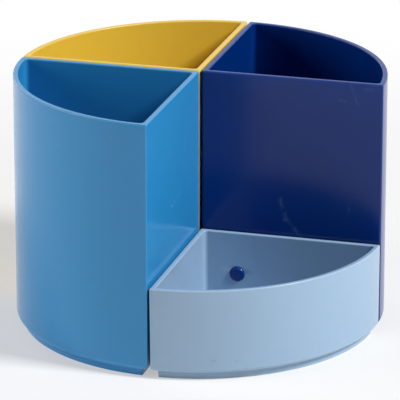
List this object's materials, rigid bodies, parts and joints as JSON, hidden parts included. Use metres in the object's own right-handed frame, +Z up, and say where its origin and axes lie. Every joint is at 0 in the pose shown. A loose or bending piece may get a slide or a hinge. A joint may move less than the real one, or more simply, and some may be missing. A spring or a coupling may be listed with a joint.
{
  "type": "desk organizer",
  "caption": "Round desk organizer made of quarter-round open bins, tall ones for pens and a low tray, plugged together by studs and standing on recessed feet",
  "frame": {"origin": "centre of the ring of bins, on the surface it stands on", "axes": "+Z up; +X right and -Y towards the viewer, with the low tray at the front right (+X -Y)"},
  "size_m": [0.15, 0.15, 0.104],
  "materials": {
    "navy_plastic": "glossy injection-moulded polystyrene, navy",
    "yellow_plastic": "glossy injection-moulded polystyrene, golden yellow",
    "light_blue_plastic": "glossy injection-moulded polystyrene, sky blue",
    "pale_blue_plastic": "glossy injection-moulded polystyrene, pale blue"
  },
  "bodies": {
    "navy": {"navy_bin": "navy_plastic"},
    "yellow": {"yellow_bin": "yellow_plastic"},
    "light_blue": {"light_blue_bin": "light_blue_plastic"},
    "tray": {"low_tray": "pale_blue_plastic"}
  },
  "joints": [
    {"name": "yellow_pull", "type": "slide", "parent": "navy", "child": "yellow", "axis": [-1, 0, 0], "range_m": [0, 0.03]},
    {"name": "light_blue_pull", "type": "slide", "parent": "yellow", "child": "light_blue", "axis": [0, -1, 0], "range_m": [0, 0.03]},
    {"name": "tray_pull", "type": "slide", "parent": "navy", "child": "tray", "axis": [0, -1, 0], "range_m": [0, 0.03]}
  ],
  "couplings": [
    {"joint": "tray_pull", "follows": "light_blue_pull", "ratio": 1}
  ]
}
